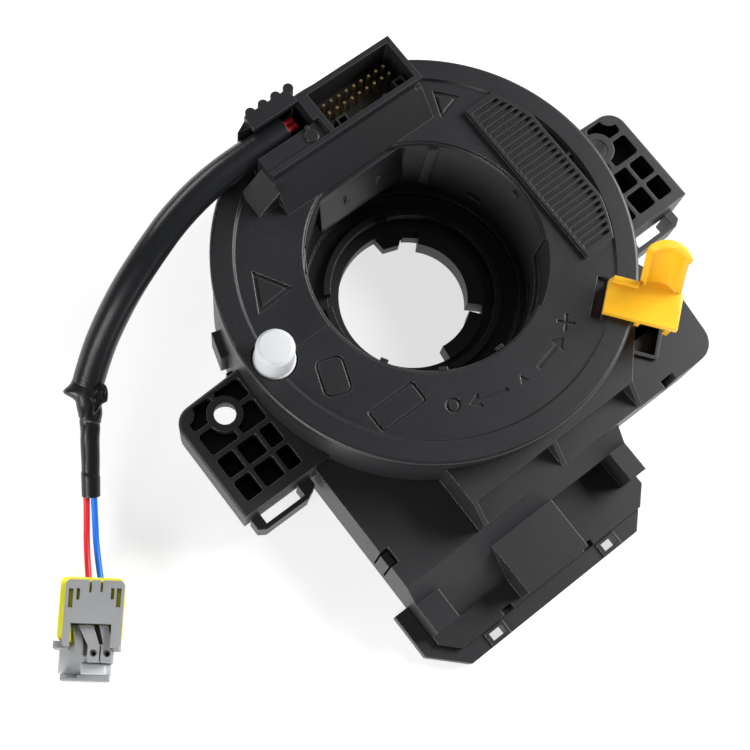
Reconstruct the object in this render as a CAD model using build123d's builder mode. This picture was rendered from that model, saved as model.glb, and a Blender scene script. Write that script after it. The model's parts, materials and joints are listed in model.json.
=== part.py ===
from build123d import *
import os
from math import cos, pi, radians, sin, sqrt, tan

# Steering clock spring, in millimetres.
# The origin is on the steering axis at the back face, +Z points to the wheel,
# +X to the right ear and +Y to the connector tower.

# Heights above the back face
back_t = 3.0
back_lip = 3.6
ledge_z = 5.0
wing_z = 18.5
band_z = 25.0
plateau_z = 30.0
case_top = 34.6
disc_top = 38.0
tower_top = 48.0
floor_z = 12.0
floor_t = 2.0

# Clearances
run_gap = 0.4
seat_gap = 0.1
wall = 1.8

# Round case and rotor, inwards from the rim of the disc
disc_r = 52.0
rim_over = 0.5
case_wall = 1.6
disc_t = 2.4
disc_width = 23.0
rim_band = 5.5
rim_step = 0.6
rim_skirt = 3.0
rim_lip = 1.6
hub_wall = 1.8
hub_z = 10.0
floor_ring = 1.2
case_r = disc_r - rim_over
bore_r = disc_r - disc_width
hub_out = bore_r + hub_wall
floor_bore = hub_out + floor_ring

# Lower rotor and cancel cam
sleeve_step = 7.0
retain_over = 4.0
retain_t = 2.4
cam_wall = 3.0
cam_z = 0.6
cam_lug_h = 6.0
sleeve_lip = 0.6
sleeve_in = bore_r - sleeve_step
shoulder_z = cam_z + cam_lug_h + 1.0
retain_r = floor_bore + retain_over
cam_bore = sleeve_in - cam_wall

# Angle sensor gears
gear_m = 1.0
ring_wall = 5.2
ring_teeth = round(2 * (hub_out + ring_wall) / gear_m)
gear_a_teeth = 16
gear_b_teeth = 18
gear_t = 3.2
gear_z = 4.8
gear_backlash = 0.4
gear_a_angle = -104.0
gear_b_angle = -72.0
gear_shaft = 1.6
magnet_r = 2.6
magnet_t = 1.4
board_t = 1.6

# Ears
ear_span = case_r + 8.5
ear_hole_r = 2.7
ear_relief_r = 3.6
ear_foot_r = 5.4
ear_rim_t = 1.6
ear_boss_r = 4.5
ear_x = ear_span + 11.2
ear_shelf = 16.5
ear_y_top = 7.6
ear_y_low = -23.2
ear_z0 = 10.0
ear_z1 = 22.0
ear_floor = 1.6
ear_corner = 5.0

# Lower housing outline, outwards from the round case
house_left = 1.3 - case_r
house_right = 17.2
wing_right = case_r + 1.3
wing_front = -7.9 - case_r
plateau_left = -27.6
plateau_front = -2.3 - case_r
plateau_right = 22.8
gusset_t = 1.2
slope_end = wing_front - 13.0
ledge_front = slope_end - 6.5
lip_front = ledge_front - 4.3
flange_left = house_left - 4.2

# Connector tower
tower_left = -21.0
tower_right = 23.8
tower_back = disc_r - 4.4
tower_front = tower_back - 13.6
tower_foot = tower_front - 6.6
tower_wall = 1.4
mouth_left = -3.2
channel_y = tower_back - 3.6
pin_pitch = 2.3
pin_side = 0.64
pins_per_row = 10
pin_tip = 44.0

# Drive peg
peg_x = 6.7 - disc_r
peg_y = 0.6
peg_r = 5.1
peg_top_r = 4.75
peg_h = 10.6
peg_recess = 1.0
peg_post_r = 3.2

# Comb grip
comb_x = bore_r + 2.0
comb_x_out = disc_r - 8.0
comb_half = 23.8
comb_r = disc_r - 6.0
comb_rise = 1.4
comb_ribs = 27
comb_rib = 0.8

# Lock tab
lock_angle = -51.0
lock_plate = 1.7
lock_inner = disc_r - 8.0
lock_outer = disc_r + 10.4
lock_leg_t = 1.4
lock_tip_z = plateau_z
lock_handle_h = 13.5

# Airbag lead
sleeve_r = 3.85
tape_r = 2.2
wire_r = 0.8
wire_split = 0.85

# Airbag plug
plug_w = 13.9
plug_len = 15.8
plug_h = 8.0
plug_cover_t = 1.5

# Values that follow from the driving dimensions
case_in = case_r - case_wall
chamber_z = floor_z + floor_t
disc_face = disc_top - rim_step
disc_under = disc_top - disc_t
slope = (wing_z - ledge_z) / (wing_front - slope_end)
block_y = wing_front - 4.4
block_z = wing_z - slope * (wing_front - block_y)
text_left = -7.2
block_left = -26.4
small_block_right = house_left + 6.8
right_block_left = house_right - 5.0
right_block_y = slope_end + 0.2
centre_block_y = ledge_front + 0.7
pocket_r = lock_outer - 3.4
pocket_size = (7.4, 8.4)
window_y = wing_front + 8.4
gusset_pitch = (plateau_right - plateau_left - gusset_t) / 2
header_top = disc_under + 2.8

os.makedirs("parts", exist_ok=True)


def polar(r, angle):
    """Point at a radius and an angle in degrees about the steering axis."""
    return (r * cos(radians(angle)), r * sin(radians(angle)))


def turned(angle, z, r=0.0):
    """Work plane at height z whose X runs radially at the given angle."""
    x, y = polar(r, angle)
    return Plane(origin=(x, y, z), x_dir=(cos(radians(angle)), sin(radians(angle)), 0), z_dir=(0, 0, 1))


def box_between(x0, x1, y0, y1, z0, z1, mode=Mode.ADD):
    """Block given by its two corners, added to or cut from the open part."""
    with Locations(((x0 + x1) / 2, (y0 + y1) / 2, (z0 + z1) / 2)):
        Box(x1 - x0, y1 - y0, z1 - z0, mode=mode)


def wing_outline(inset):
    """Plan of the two wing plates, drawn inset from the outer wall."""
    Polyline(
        (house_left + inset, -20),
        (house_left + inset, wing_front + inset),
        (wing_right - 1.6 - inset, wing_front + inset),
        (wing_right - inset, wing_front + 15.9),
        (wing_right - inset, wing_front + 21.4),
        (case_r - 5.5 - inset, -22),
        close=True,
    )


def plateau_outline(inset):
    """Plan of the plateau beside the rotor."""
    Polyline(
        (plateau_left + inset, -30),
        (plateau_left + inset, plateau_front + inset),
        (plateau_right - inset / 2, plateau_front + inset),
        (case_r - 18 - inset, 9 - case_r),
        (case_r - 13.5 - inset, -30),
        close=True,
    )


# Gear meshing of the angle sensor
gear_top = gear_z + gear_t
gear_mid = gear_backlash / 2
ring_pitch_r = gear_m * ring_teeth / 2


def gear_outline(teeth):
    """Gear plan: root circle plus straight flanked teeth with running backlash."""
    pitch_r = gear_m * teeth / 2
    root_r = pitch_r - 1.1 * gear_m
    tip_r = pitch_r + 0.75 * gear_m
    at_pitch = pi * gear_m / 2 - gear_backlash
    at_tip = at_pitch - 0.6 * gear_m
    at_root = at_pitch + 0.7 * gear_m
    Circle(root_r)
    with PolarLocations(0, teeth):
        Polygon(
            (root_r - 0.3, -at_root / 2),
            (root_r, -at_root / 2),
            (tip_r, -at_tip / 2),
            (tip_r, at_tip / 2),
            (root_r, at_root / 2),
            (root_r - 0.3, at_root / 2),
            align=None,
        )


def gear_centre(teeth, angle):
    """Axis of a measuring gear that meshes with the ring gear."""
    return polar(ring_pitch_r + gear_m * teeth / 2 + gear_mid, angle)


gear_a_x, gear_a_y = gear_centre(gear_a_teeth, gear_a_angle)
gear_b_x, gear_b_y = gear_centre(gear_b_teeth, gear_b_angle)


def gear_phase(teeth, angle):
    """Turn that puts a gap of the measuring gear over the nearest ring tooth."""
    step = 360 / ring_teeth
    return angle + 180 - (step / 2 - angle % step) * ring_teeth / teeth


def sector(r0, r1, a0, a1):
    """Outline of an annular sector between two radii and two angles."""
    outer = CenterArc((0, 0), r1, a0, a1 - a0)
    inner = CenterArc((0, 0), r0, a0, a1 - a0)
    Line(outer @ 0, inner @ 0)
    Line(outer @ 1, inner @ 1)

# Front housing: wing plates, plateau, band, sloped front and its blocks
with BuildPart() as front_housing:
    with BuildSketch(Plane.XY.offset(back_t)):
        with BuildLine():
            wing_outline(0)
        make_face()
    extrude(amount=wing_z - back_t)
    fillet(front_housing.edges().filter_by(Axis.Z).group_by(Axis.X)[-2], 6)
    with BuildSketch(Plane.XY.offset(back_t)):
        with BuildLine():
            plateau_outline(0)
        make_face()
    extrude(amount=plateau_z - back_t)
    box_between(plateau_left, plateau_right, wing_front, plateau_front, back_t, band_z)

    # sloped front with its ledge
    with BuildSketch(Plane.YZ.offset(house_left)):
        with BuildLine():
            Polyline(
                (wing_front + wall, back_t),
                (wing_front + wall, wing_z),
                (wing_front, wing_z),
                (slope_end, ledge_z),
                (ledge_front, ledge_z),
                (ledge_front, back_t),
                close=True,
            )
        make_face()
    extrude(amount=house_right - house_left)
    chamfer(front_housing.edges().filter_by(Axis.Z).group_by(Axis.Y)[0], 4.4)
    box_between(text_left, house_right + 1, ledge_front - 1, block_y, ledge_z, wing_z + 1, Mode.SUBTRACT)

    # hollow insides, open to the back cover
    with BuildSketch(Plane.XY.offset(back_t)):
        with BuildLine():
            wing_outline(wall)
        make_face()
    extrude(amount=wing_z - wall - back_t, mode=Mode.SUBTRACT)
    with BuildSketch(Plane.XY.offset(back_t)):
        with BuildLine():
            plateau_outline(wall)
        make_face()
    extrude(amount=plateau_z - wall - back_t, mode=Mode.SUBTRACT)
    box_between(
        plateau_left + wall, plateau_right - wall, wing_front + wall, plateau_front + 2 * wall,
        back_t, band_z - wall, Mode.SUBTRACT,
    )
    drop = wall * sqrt(1 + slope**2)
    with BuildSketch(Plane.YZ.offset(house_left + wall)):
        with BuildLine():
            Polyline(
                (wing_front + 2 * wall, back_t),
                (wing_front + 2 * wall, wing_z - drop),
                (wing_front, wing_z - drop),
                (slope_end + (drop + back_t - ledge_z) / slope, back_t),
                close=True,
            )
        make_face()
    extrude(amount=text_left - house_left - 2 * wall, mode=Mode.SUBTRACT)
    box_between(
        text_left - wall, house_right - wall, block_y + wall, wing_front + 2 * wall,
        back_t, block_z - wall, Mode.SUBTRACT,
    )

    # flat topped blocks that stand out of the slope
    box_between(house_left, small_block_right, right_block_y, block_y, back_t, block_z)
    box_between(block_left, text_left, centre_block_y, block_y, back_t, block_z)
    box_between(right_block_left, house_right, right_block_y, block_y, back_t, block_z)
    box_between(
        block_left + wall, text_left - wall, centre_block_y + wall, block_y + wall,
        back_t, block_z - wall, Mode.SUBTRACT,
    )
    box_between(
        house_left + wall, small_block_right - wall, right_block_y + wall, block_y + wall,
        back_t, block_z - wall, Mode.SUBTRACT,
    )

    # gussets between plateau and band
    for i in range(3):
        with BuildSketch(Plane.YZ.offset(plateau_left + i * gusset_pitch)):
            with BuildLine():
                Polyline(
                    (plateau_front, band_z),
                    (plateau_front, plateau_z),
                    (wing_front, band_z),
                    close=True,
                )
            make_face()
        extrude(amount=gusset_t)

    # seat of the round case
    with Locations((0, 0, back_t)):
        Cylinder(case_r, tower_top, align=(Align.CENTER, Align.CENTER, Align.MIN), mode=Mode.SUBTRACT)

    # pocket that takes the transport lock
    with BuildSketch(turned(lock_angle, wing_z - 2 * wall, pocket_r)):
        Rectangle(*pocket_size)
    extrude(amount=4 * wall, mode=Mode.SUBTRACT)
    with BuildSketch(turned(lock_angle, wing_z - 2 * wall, pocket_r)):
        RectangleRounded(pocket_size[0] + 2.0, pocket_size[1] + 2.0, 0.8)
        Rectangle(*pocket_size, mode=Mode.SUBTRACT)
    extrude(amount=2 * wall + 0.8)

    # latch windows in the rim of the wings and at the ledge
    box_between(
        house_left - 1, house_left + 2.4, window_y - 2.2, window_y + 2.2,
        back_t, wing_z + 1, Mode.SUBTRACT,
    )
    box_between(33.2, 37.2, wing_front - 1, wing_front + 2.0, 11.0, wing_z + 1, Mode.SUBTRACT)
    for x in (-31.0, -4.6):
        box_between(x - 1.6, x + 1.6, ledge_front - 1, ledge_front + 1.6, back_t, ledge_z + 1, Mode.SUBTRACT)
front_housing.part.label = "front_housing"
export_step(front_housing.part, "parts/front_housing.step")

# Round case: wall, chamber floor and snap hooks
hook_angles = (163.0, 118.0, 38.0)

with BuildPart() as stator_case:
    with BuildSketch(Plane.XY.offset(back_t)):
        Circle(case_r)
        Circle(case_in, mode=Mode.SUBTRACT)
    extrude(amount=case_top - back_t)
    with BuildSketch(Plane.XY.offset(floor_z)):
        Circle(case_r)
        Circle(floor_bore, mode=Mode.SUBTRACT)
    extrude(amount=floor_t)
    # way through the wall for the measuring gears and their board
    box_between(-40, 27, -case_r, -38, back_t, floor_z, Mode.SUBTRACT)
    for angle in hook_angles:
        with BuildSketch(turned(angle, 9.0, case_r - 0.3)):
            Rectangle(2.4, 7.0, align=(Align.MIN, Align.CENTER))
        extrude(amount=11.0)
    with BuildSketch(turned(172.5, back_t, case_r - 0.3)):
        Rectangle(1.6, 8.0, align=(Align.MIN, Align.CENTER))
    extrude(amount=ear_z0 - back_t)
stator_case.part.label = "stator_case"
export_step(stator_case.part, "parts/stator_case.step")

# Screw ears with waffle cells, and the harness clip loop below each
ear_inner_x = case_r + 0.7
ear_cell_x = (ear_inner_x, ear_span - 4.0, ear_span - 2.9, ear_span + 2.7, ear_span + 3.8, ear_x - 2.7)
ear_cell_y = (-20.5, -14.7, -13.6, -8.0)
ear_upper_x = (ear_inner_x, ear_span - 0.6, ear_span + 0.6, ear_x - 2.7)
ear_upper_y = (-6.7, -0.7, 0.5, 5.8)
loop_z = 5.0
loop_h = 8.0
loop_y = -27.4


def cells(side, columns, rows, corner):
    """Rounded cells of a waffle, between pairs of columns and rows."""
    for x0, x1 in zip(columns[::2], columns[1::2]):
        for y0, y1 in zip(rows[::2], rows[1::2]):
            with Locations((side * (x0 + x1) / 2, (y0 + y1) / 2)):
                RectangleRounded(x1 - x0, y1 - y0, corner)


for side, name in ((-1, "ear_left"), (1, "ear_right")):
    with BuildPart() as ear:
        with BuildSketch(Plane.XY.offset(ear_z0)):
            Polygon(
                (side * 46, ear_y_low), (side * ear_x, ear_y_low), (side * ear_x, ear_y_top - 1),
                (side * 46, ear_y_top), align=None,
            )
        extrude(amount=ear_z1 - ear_z0)
        outer_corners = ear.edges().filter_by(Axis.Z).filter_by(lambda e: abs(e.center().X) > ear_span)
        fillet(outer_corners.sort_by(Axis.Y)[-1], ear_corner)
        outer_rim = ear.faces().filter_by(Axis.Z).sort_by(Axis.Z)[-1].edges()
        chamfer(outer_rim.filter_by(lambda e: abs(e.center().X) > ear_span), 0.5)
        with BuildSketch(Plane.XY.offset(ear_z1)):
            cells(side, ear_cell_x, ear_cell_y, 0.7)
        extrude(amount=-(ear_z1 - ear_z0 - ear_floor), mode=Mode.SUBTRACT)
        with BuildSketch(Plane.XY.offset(ear_z1)):
            cells(side, ear_upper_x, ear_upper_y, 0.9)
            with Locations((side * (ear_x - 2.7), 5.8)):
                Circle(3.0, mode=Mode.SUBTRACT)
            with Locations((side * ear_span, 0)):
                Circle(ear_boss_r, mode=Mode.SUBTRACT)
        extrude(amount=ear_shelf - ear_z1, mode=Mode.SUBTRACT)
        # screw hole: a thin rim over a relief that widens towards the back
        below = (Align.CENTER, Align.CENTER, Align.MAX)
        with Locations((side * ear_span, 0, ear_z1)):
            Hole(ear_hole_r, ear_z1)
        with Locations((side * ear_span, 0, ear_z1 - ear_rim_t)):
            Cylinder(ear_relief_r, ear_z1, align=below, mode=Mode.SUBTRACT)
        with Locations((side * ear_span, 0, ear_shelf - ear_floor)):
            Cylinder(ear_foot_r, ear_z1, align=below, mode=Mode.SUBTRACT)
        # harness clip loop
        with BuildSketch(Plane.XY.offset(loop_z)):
            Polygon(
                (side * (ear_x - 1.8), ear_y_low), (side * (ear_x - 1.8), loop_y + 1.2),
                (side * (ear_x - 3.6), loop_y), (side * (ear_x - 16.2), loop_y),
                (side * (ear_x - 19.6), loop_y + 1.8), (side * (ear_x - 19.6), ear_y_low), align=None,
            )
            with Locations((side * (ear_x - 10.2), loop_y + 2.7)):
                Rectangle(11.5, 3.0, mode=Mode.SUBTRACT)
        extrude(amount=loop_h)
        with Locations((0, 0, back_t)):
            Cylinder(case_r, tower_top, align=(Align.CENTER, Align.CENTER, Align.MIN), mode=Mode.SUBTRACT)
        add(front_housing.part, mode=Mode.SUBTRACT)
    ear.part.label = name
    export_step(ear.part, f"parts/{name}.step")

# Back cover with the column opening, connector mouths and corner flange
cover_bore = sleeve_in + 2.5
socket_x, socket_y = (case_r - 14.5, 1.0 - case_r)
socket_w, socket_d = (22.0, 11.0)
socket_h = 11.6
airbag_socket_x, airbag_socket_y = (13.5 - case_r, 1.0 - case_r)
airbag_w, airbag_d = (13.0, 11.0)
socket_wall = 1.2
flange_corner = 8.4
rib_ring_in = bore_r + 2.0
rib_ring_out = case_r - 4.5
cover_ribs = 12
board_z = gear_top + magnet_t + run_gap
board_front = wing_front + 2.4
board_posts = (
    (-27.0, board_front + 10),
    (-4.0, board_front + 1.5),
    (2.0, -retain_r - 3.5),
    (23.0, board_front + 3),
)

with BuildPart() as back_cover:
    with BuildSketch():
        Circle(case_r)
        with BuildLine():
            wing_outline(0)
        make_face()
    extrude(amount=back_t)
    fillet(back_cover.edges().filter_by(Axis.Z).group_by(Axis.X)[-2], 6)
    # lip and corner flange, a step higher where the case does not cover them
    with BuildSketch():
        with BuildLine():
            Polyline(
                (house_left, wing_front - 3.2),
                (flange_left, wing_front - 3.2),
                (flange_left, lip_front + flange_corner),
                (flange_left + flange_corner, lip_front),
                (house_right - 8.8, lip_front),
                (house_right, lip_front + 8.8),
                (house_right, wing_front + 1),
                (house_left, wing_front + 1),
                close=True,
            )
        make_face()
    extrude(amount=back_t)
    with BuildSketch(Plane.XY.offset(back_t)):
        with BuildLine():
            Polyline(
                (house_left - seat_gap, wing_front - 3.2),
                (flange_left, wing_front - 3.2),
                (flange_left, lip_front + flange_corner),
                (flange_left + flange_corner, lip_front),
                (house_right - 8.8, lip_front),
                (house_right - 8.8 + ledge_front - seat_gap - lip_front, ledge_front - seat_gap),
                (house_left + 4.4, ledge_front - seat_gap),
                (house_left - seat_gap, ledge_front + 4.4),
                close=True,
            )
        make_face()
    extrude(amount=back_lip - back_t)
    # column opening and pressed ring of cooling pockets between ribs
    Hole(cover_bore)
    with BuildSketch():
        Circle(rib_ring_out)
        Circle(rib_ring_in, mode=Mode.SUBTRACT)
        with PolarLocations(0, cover_ribs):
            Rectangle(rib_ring_out + 1, 1.6, align=(Align.MIN, Align.CENTER), mode=Mode.SUBTRACT)
    extrude(amount=1.2, mode=Mode.SUBTRACT)
    # mouths of the two column side connectors
    box_between(
        socket_x - socket_w / 2 + socket_wall, socket_x + socket_w / 2 - socket_wall,
        socket_y - socket_d / 2 + socket_wall, socket_y + socket_d / 2 - socket_wall,
        -1, back_t + 1, Mode.SUBTRACT,
    )
    box_between(
        airbag_socket_x - airbag_w / 2 + socket_wall, airbag_socket_x + airbag_w / 2 - socket_wall,
        airbag_socket_y - airbag_d / 2 + socket_wall, airbag_socket_y + airbag_d / 2 - socket_wall,
        -1, back_t + 1, Mode.SUBTRACT,
    )
    # latch slots through the lip, each with a raised border
    for x in (-36.5, 0.4):
        box_between(x - 2.9, x + 2.9, lip_front, ledge_front - 0.4, back_lip, back_lip + 0.5)
        box_between(x - 1.9, x + 1.9, lip_front + 1.0, ledge_front - 1.2, -1, back_lip + 1, Mode.SUBTRACT)
    # snap tongue in the latch window at the left
    box_between(house_left, house_left + 2.2, window_y - 1.6, window_y + 1.6, back_t, wing_z - 2.5)
    # gear shafts on their shoulders, and posts for the board
    with Locations((gear_a_x, gear_a_y, back_t), (gear_b_x, gear_b_y, back_t)):
        Cylinder(gear_shaft, gear_top - run_gap - back_t, align=(Align.CENTER, Align.CENTER, Align.MIN))
        Cylinder(2 * gear_shaft, gear_z - run_gap - back_t, align=(Align.CENTER, Align.CENTER, Align.MIN))
    with Locations([(x, y, back_t) for x, y in board_posts]):
        Cylinder(1.4, board_z - back_t, align=(Align.CENTER, Align.CENTER, Align.MIN))
back_cover.part.label = "back_cover"
export_step(back_cover.part, "parts/back_cover.step")

# Column side connectors, open towards the back
def socket(width, depth):
    """Connector shroud standing on the back cover, its mouth down."""
    Box(width, depth, socket_h, align=(Align.CENTER, Align.CENTER, Align.MIN))
    Box(
        width - 2 * socket_wall, depth - 2 * socket_wall, socket_h - 2.0,
        align=(Align.CENTER, Align.CENTER, Align.MIN), mode=Mode.SUBTRACT,
    )


with BuildPart() as harness_socket:
    with Locations((socket_x, socket_y, back_t)):
        socket(socket_w, socket_d)
    with Locations((socket_x, socket_y + socket_d / 2 - socket_wall / 2, back_t + 3)):
        Box(5, socket_wall + 2, 6, mode=Mode.SUBTRACT)
harness_socket.part.label = "harness_socket"
export_step(harness_socket.part, "parts/harness_socket.step")

with BuildPart() as harness_pins:
    with Locations((socket_x, socket_y, back_t + 3)):
        with GridLocations(2.2, 2.6, 7, 2):
            Box(pin_side, pin_side, socket_h - 5.0, align=(Align.CENTER, Align.CENTER, Align.MIN))
harness_pins.part.label = "harness_pins"
export_step(harness_pins.part, "parts/harness_pins.step")

with BuildPart() as airbag_socket:
    with Locations((airbag_socket_x, airbag_socket_y, back_t)):
        socket(airbag_w, airbag_d)
airbag_socket.part.label = "airbag_socket"
export_step(airbag_socket.part, "parts/airbag_socket.step")

with BuildPart() as airbag_pins:
    with Locations((airbag_socket_x, airbag_socket_y, back_t + 3)):
        with GridLocations(3.0, 3.0, 3, 2):
            Box(1.0, 1.0, socket_h - 5.0, align=(Align.CENTER, Align.CENTER, Align.MIN))
airbag_pins.part.label = "airbag_pins"
export_step(airbag_pins.part, "parts/airbag_pins.step")

# Driving ring, two measuring gears with their magnets, and the board above them
ring_bore = hub_out + 0.2

with BuildPart() as ring_gear:
    with BuildSketch(Plane.XY.offset(gear_z)):
        gear_outline(ring_teeth)
        Circle(ring_bore, mode=Mode.SUBTRACT)
    extrude(amount=gear_t)
ring_gear.part.label = "ring_gear"
export_step(ring_gear.part, "parts/ring_gear.step")

with BuildPart() as sensor_gear_a:
    with BuildSketch(Plane.XY.offset(gear_z)):
        with Locations(Location((gear_a_x, gear_a_y), gear_phase(gear_a_teeth, gear_a_angle))):
            gear_outline(gear_a_teeth)
            Circle(gear_shaft + 0.05, mode=Mode.SUBTRACT)
    extrude(amount=gear_t)
sensor_gear_a.part.label = "sensor_gear_a"
export_step(sensor_gear_a.part, "parts/sensor_gear_a.step")

with BuildPart() as sensor_gear_b:
    with BuildSketch(Plane.XY.offset(gear_z)):
        with Locations(Location((gear_b_x, gear_b_y), gear_phase(gear_b_teeth, gear_b_angle))):
            gear_outline(gear_b_teeth)
            Circle(gear_shaft + 0.05, mode=Mode.SUBTRACT)
    extrude(amount=gear_t)
sensor_gear_b.part.label = "sensor_gear_b"
export_step(sensor_gear_b.part, "parts/sensor_gear_b.step")

with BuildPart() as magnet_a:
    with Locations((gear_a_x, gear_a_y, gear_top)):
        Cylinder(magnet_r, magnet_t, align=(Align.CENTER, Align.CENTER, Align.MIN))
magnet_a.part.label = "magnet_a"
export_step(magnet_a.part, "parts/magnet_a.step")

with BuildPart() as magnet_b:
    with Locations((gear_b_x, gear_b_y, gear_top)):
        Cylinder(magnet_r, magnet_t, align=(Align.CENTER, Align.CENTER, Align.MIN))
magnet_b.part.label = "magnet_b"
export_step(magnet_b.part, "parts/magnet_b.step")

# Board above the gears, on posts of the back cover
with BuildPart() as circuit_board:
    with BuildSketch(Plane.XY.offset(board_z)):
        with BuildLine():
            Polyline(
                (-30, -38), (-30, board_front + 5), (-25, board_front), (22, board_front),
                (25.6, board_front + 3.6), (25.6, -38), close=True,
            )
        make_face()
        Circle(retain_r + 1.5, mode=Mode.SUBTRACT)
    extrude(amount=board_t)
circuit_board.part.label = "circuit_board"
export_step(circuit_board.part, "parts/circuit_board.step")

# Lower rotor: sleeve, web, collar and retaining flange under the chamber floor
collar_r = floor_bore - run_gap
flange_top = floor_z - run_gap
sleeve_out = sleeve_in + 1.2
ledge_in = bore_r - 1.2
web_top = 7.2
snap_angles = (20, 80, 140, 200, 260, 320)

with BuildPart() as lower_rotor:
    with BuildSketch(Plane.XZ):
        with BuildLine():
            Polyline(
                (sleeve_in, cam_z + 0.6), (sleeve_out, cam_z + 0.6), (sleeve_out, back_t + 0.6),
                (ring_bore, back_t + 0.6), (ring_bore, flange_top - retain_t),
                (retain_r, flange_top - retain_t), (retain_r, flange_top), (collar_r, flange_top),
                (collar_r, chamber_z), (hub_out, chamber_z),
                (hub_out, hub_z), (ledge_in, hub_z), (ledge_in, web_top), (sleeve_out, web_top),
                (sleeve_out, hub_z), (sleeve_in - sleeve_lip, hub_z), (sleeve_in - sleeve_lip, shoulder_z),
                (sleeve_in, shoulder_z), close=True,
            )
        make_face()
    revolve(axis=Axis.Z)
    # saving grooves below the web, with ribs left between them
    with BuildSketch(Plane.XY.offset(back_t + 0.6)):
        for i in range(8):
            with BuildLine():
                sector(sleeve_out + 1.2, ring_bore - 1.6, 45 * i + 4, 45 * i + 41)
            make_face()
    extrude(amount=2.0, mode=Mode.SUBTRACT)
    # notches in the sleeve rim
    for angle in (30, 75, 150, 255):
        with BuildSketch(turned(angle, hub_z, sleeve_in + 0.6)):
            Rectangle(3.4, 3.4)
        extrude(amount=shoulder_z - hub_z - 0.4, mode=Mode.SUBTRACT)
lower_rotor.part.label = "lower_rotor"
export_step(lower_rotor.part, "parts/lower_rotor.step")

# Cancel cam with its inner wall segments and the driving lug
with BuildPart() as cancel_cam:
    with BuildSketch(Plane.XY.offset(cam_z)):
        Circle(sleeve_in - 0.04)
        Circle(cam_bore, mode=Mode.SUBTRACT)
    extrude(amount=4.4)
    with BuildSketch(Plane.XY.offset(cam_z)):
        with BuildLine():
            sector(cam_bore - 4.2, cam_bore + 0.5, -43, 45)
        make_face()
        with BuildLine():
            sector(cam_bore - 3.4, cam_bore + 0.5, -97, -51)
        make_face()
    extrude(amount=cam_lug_h)
    with BuildSketch(Plane.XY.offset(cam_z)):
        with BuildLine():
            sector(cam_bore - 1.6, cam_bore + 0.5, 44, 59)
        make_face()
        with BuildLine():
            Polyline(
                polar(cam_bore + 0.5, 58), polar(cam_bore - 3.5, 63), polar(cam_bore - 3.5, 79),
                polar(cam_bore + 0.5, 82), close=True,
            )
        make_face()
    extrude(amount=3.4)
cancel_cam.part.label = "cancel_cam"
export_step(cancel_cam.part, "parts/cancel_cam.step")

# Slip ring on the chamber floor
with BuildPart() as chamber_liner:
    with BuildSketch(Plane.XY.offset(chamber_z)):
        Circle(case_in)
        Circle(collar_r + 2 * run_gap, mode=Mode.SUBTRACT)
    extrude(amount=0.5)
chamber_liner.part.label = "chamber_liner"
export_step(chamber_liner.part, "parts/chamber_liner.step")

# Flat cable wound between the hub and the round wall
cable_t = 0.35
cable_turns = 3
cable_r0 = hub_out + cable_t / 2
cable_r1 = case_in - cable_t / 2
cable_z0 = chamber_z + 1.2
cable_z1 = disc_under - 1.4
with BuildPart() as flat_cable:
    with BuildSketch(Plane.XY.offset(cable_z0)):
        # half turns about two centres that stand half a step apart
        with BuildLine():
            step = (cable_r1 - cable_r0) / (2 * cable_turns)
            for i in range(2 * cable_turns):
                CenterArc((step * (i % 2), 0), cable_r0 + step * i, 180 * (i % 2), 180)
        trace(line_width=cable_t)
    extrude(amount=cable_z1 - cable_z0)
flat_cable.part.label = "flat_cable"
export_step(flat_cable.part, "parts/flat_cable.step")

# Rotor disc with hub, tower and comb grip
tower_len = tower_right - tower_left
bay_back = tower_front + 5.9
channel_left = tower_left - 1
channel_right = mouth_left - tower_wall
window_left = -12.0
window_right = 14.0
window_z = 19.0
recess_z = 24.0
rib_z = 16.0
tab_angles = (0, -90, -120, -149)
slot_pitch = 2 * comb_half / (comb_ribs + 0.6)

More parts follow.
